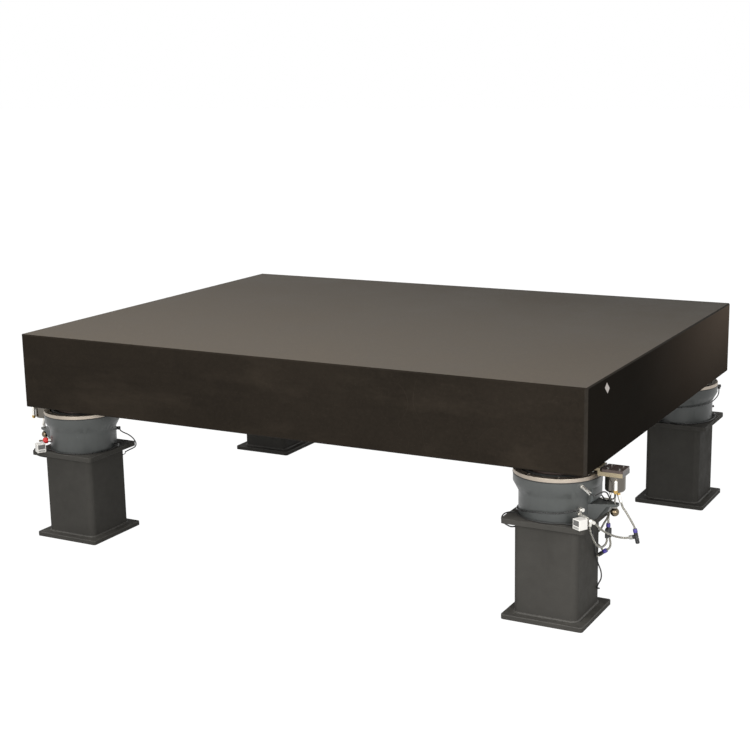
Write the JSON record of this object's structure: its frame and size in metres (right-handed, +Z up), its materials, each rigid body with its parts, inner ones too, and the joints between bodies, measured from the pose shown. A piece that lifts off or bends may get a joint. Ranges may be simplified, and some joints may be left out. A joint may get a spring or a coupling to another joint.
{
  "type": "vibration isolation table",
  "caption": "Granite surface plate floating on air springs that stand on square steel pedestals, with levelling valves, digital pressure switches and air tubing.",
  "frame": {"origin": "on the floor under the middle of the slab", "axes": "+Z up, +X along the slab's long side, -Y towards the side with the pressure switches"},
  "size_m": [2.1814, 1.5124, 0.71],
  "materials": {
    "granite": "lapped, satin",
    "leg_paint": "satin grey paint",
    "pot_paint": "blue-grey satin paint",
    "ring_metal": "anodised pale",
    "dark_steel": "blackened screws",
    "bare_steel": "turned",
    "black_rubber": "matt",
    "dark_anodised": "dark anodised",
    "hanger_zinc": "yellowish zinc finish",
    "valve_chrome": "polished",
    "nickel": "nickel plate",
    "knob_brass": "dull brass",
    "red_plastic": "gloss",
    "white_plastic": "gloss",
    "display_grey": "clear window over grey",
    "key_grey": "matt",
    "black_plastic": "gloss",
    "violet_plastic": "gloss",
    "clear_tube": "clear polyurethane",
    "black_tube": "polyurethane, satin",
    "cable_jacket": "matt cable jacket"
  },
  "bodies": {
    "base": {"base_plate_fl": "leg_paint", "base_plate_fr": "leg_paint", "base_plate_bl": "leg_paint", "base_plate_br": "leg_paint", "leg_tube_fl": "leg_paint", "leg_tube_fr": "leg_paint", "leg_tube_bl": "leg_paint", "leg_tube_br": "leg_paint", "head_plate_fl": "leg_paint", "head_plate_fr": "leg_paint", "head_plate_bl": "leg_paint", "head_plate_br": "leg_paint", "isolator_pot_fl": "pot_paint", "isolator_pot_fr": "pot_paint", "isolator_pot_bl": "pot_paint", "isolator_pot_br": "pot_paint", "clamp_ring_fl": "ring_metal", "clamp_ring_fr": "ring_metal", "clamp_ring_bl": "ring_metal", "clamp_ring_br": "ring_metal", "isolator_screws": "dark_steel", "damping_plates": "bare_steel", "stop_rings": "bare_steel", "diaphragms": "black_rubber", "valve_bracket_fl": "pot_paint", "valve_bracket_fr": "pot_paint", "valve_bracket_bl": "pot_paint", "lock_nuts": "bare_steel", "pot_fittings": "nickel", "switch_cases": "white_plastic", "switch_displays": "display_grey", "tee_fr": "black_plastic", "tube_unions_fr": "black_plastic", "release_collars": "violet_plastic", "cable_plugs": "black_plastic", "clear_tubes_fr": "clear_tube", "black_tubes_fr": "black_tube", "cable_fr": "cable_jacket", "tubes_fl": "black_tube", "cable_fl": "cable_jacket", "tubes_br": "black_tube"},
    "floating_top": {"granite_slab": "granite", "piston_fl": "dark_anodised", "piston_fr": "dark_anodised", "piston_bl": "dark_anodised", "piston_br": "dark_anodised", "piston_retainers": "bare_steel", "load_pads": "black_rubber", "hanger_bars": "hanger_zinc", "valve_heads": "dark_anodised", "valve_cylinders": "valve_chrome", "valve_ports": "nickel", "valve_screws": "dark_steel"},
    "pins": {"sensing_pins": "bare_steel"},
    "adjuster_fl": {"height_knob_fl": "knob_brass"},
    "adjuster_fr": {"height_knob_fr": "knob_brass"},
    "adjuster_bl": {"height_knob_bl": "knob_brass"},
    "bleed_screw_fl": {"bleed_knob_fl": "red_plastic"},
    "keys_fl": {"keypad_fl": "key_grey"},
    "keys_fr": {"keypad_fr": "key_grey"}
  },
  "joints": [
    {"name": "float_lift", "type": "slide", "parent": "base", "child": "floating_top", "axis": [0, 0, 1], "range_m": [0, 0.01], "deforming": ["diaphragms"]},
    {"name": "pin_travel", "type": "slide", "parent": "floating_top", "child": "pins", "axis": [0, 0, 1], "range_m": [-0.01, 0]},
    {"name": "height_screw_fl", "type": "hinge", "parent": "base", "child": "adjuster_fl", "pos_m": [-1.039, -0.617, 0.3275], "axis": [0, 0, 1], "range_deg": [-360, 360]},
    {"name": "height_screw_fr", "type": "hinge", "parent": "base", "child": "adjuster_fr", "pos_m": [1.039, -0.617, 0.3275], "axis": [0, 0, 1], "range_deg": [-360, 360]},
    {"name": "height_screw_bl", "type": "hinge", "parent": "base", "child": "adjuster_bl", "pos_m": [-1.039, 0.617, 0.3275], "axis": [0, 0, 1], "range_deg": [-360, 360]},
    {"name": "bleed_turn_fl", "type": "hinge", "parent": "base", "child": "bleed_screw_fl", "pos_m": [-0.96276, -0.69735, 0.333], "axis": [-0.766, -0.6428, 0], "range_deg": [0, 90]},
    {"name": "key_press_fl", "type": "slide", "parent": "base", "child": "keys_fl", "axis": [-0.8434, 0.5373, 0], "range_m": [0, 0.0004], "stiffness_N_per_m": 1500},
    {"name": "key_press_fr", "type": "slide", "parent": "base", "child": "keys_fr", "axis": [0.5, 0.866, 0], "range_m": [0, 0.0004], "stiffness_N_per_m": 1500}
  ],
  "couplings": [
    {"joint": "pin_travel", "follows": "float_lift", "ratio": -1}
  ]
}
